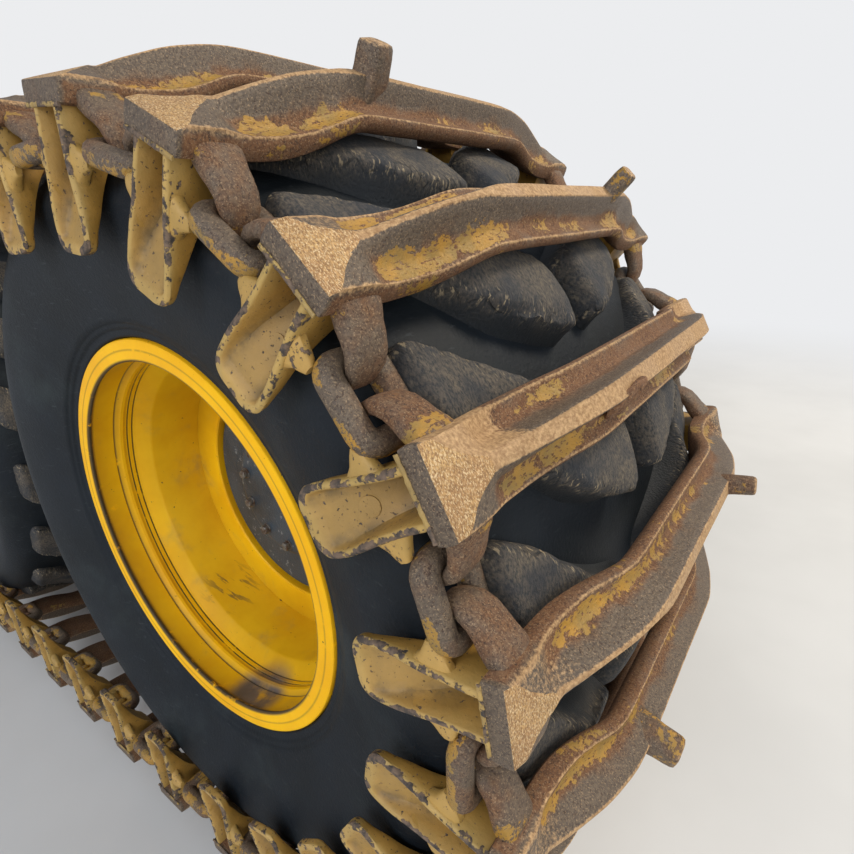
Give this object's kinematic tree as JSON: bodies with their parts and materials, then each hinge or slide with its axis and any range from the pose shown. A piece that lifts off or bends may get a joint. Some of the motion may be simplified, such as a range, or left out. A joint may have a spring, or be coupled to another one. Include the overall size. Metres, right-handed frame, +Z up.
{
  "type": "tracked bogie of a forestry harvester",
  "caption": "Forestry harvester bogie: wide low-pressure tyres on deep yellow rims run inside a worn steel band track with side paddles, on a swinging case and a bolted axle end.",
  "frame": {"origin": "centre of the axle end's bolted flange face, on the bogie's swing axis", "axes": "+X forward, -Y out to the open rims, +Y to the machine, +Z up"},
  "size_m": [3.052, 1.398, 1.58],
  "materials": {
    "grey_casting": "painted dark grey, scratched",
    "turned_steel": "turned",
    "seal_rubber": "matt",
    "rim_paint": "gloss yellow enamel, chipped at the edges",
    "tyre_rubber": "smooth, scuffed and dusty",
    "worn_track_steel": "forged, rusty and worn",
    "paddle_paint": "worn yellow paint over rust"
  },
  "bodies": {
    "axle_end": {"axle_end_housing": "grey_casting", "swing_journal": "turned_steel", "drive_shaft": "turned_steel", "shaft_seal": "seal_rubber"},
    "bogie": {"bogie_case": "grey_casting", "swing_bearing": "grey_casting", "case_cap": "grey_casting", "belly_guard": "grey_casting", "final_drive_front": "grey_casting", "final_drive_rear": "grey_casting", "track_shoes": "worn_track_steel", "track_studs": "worn_track_steel", "outer_paddles": "paddle_paint", "inner_paddles": "paddle_paint", "outer_links": "worn_track_steel", "inner_links": "worn_track_steel"},
    "wheel_front": {"hub_front": "grey_casting", "hub_cover_front": "grey_casting", "wheel_disc_front": "rim_paint", "rim_front": "rim_paint", "rim_ring_outer_front": "rim_paint", "rim_ring_inner_front": "rim_paint", "tyre_front": "tyre_rubber"},
    "wheel_rear": {"hub_rear": "grey_casting", "hub_cover_rear": "grey_casting", "wheel_disc_rear": "rim_paint", "rim_rear": "rim_paint", "rim_ring_outer_rear": "rim_paint", "rim_ring_inner_rear": "rim_paint", "tyre_rear": "tyre_rubber"}
  },
  "joints": [
    {"name": "bogie_swing", "type": "hinge", "parent": "axle_end", "child": "bogie", "pos_m": [0, -0.2, 0], "axis": [0, 1, 0], "range_deg": [-15, 15]},
    {"name": "wheel_front_spin", "type": "hinge", "parent": "bogie", "child": "wheel_front", "pos_m": [0.75, -0.929, -0.09], "axis": [0, 1, 0], "continuous": true},
    {"name": "wheel_rear_spin", "type": "hinge", "parent": "bogie", "child": "wheel_rear", "pos_m": [-0.75, -0.929, -0.09], "axis": [0, 1, 0], "continuous": true}
  ]
}
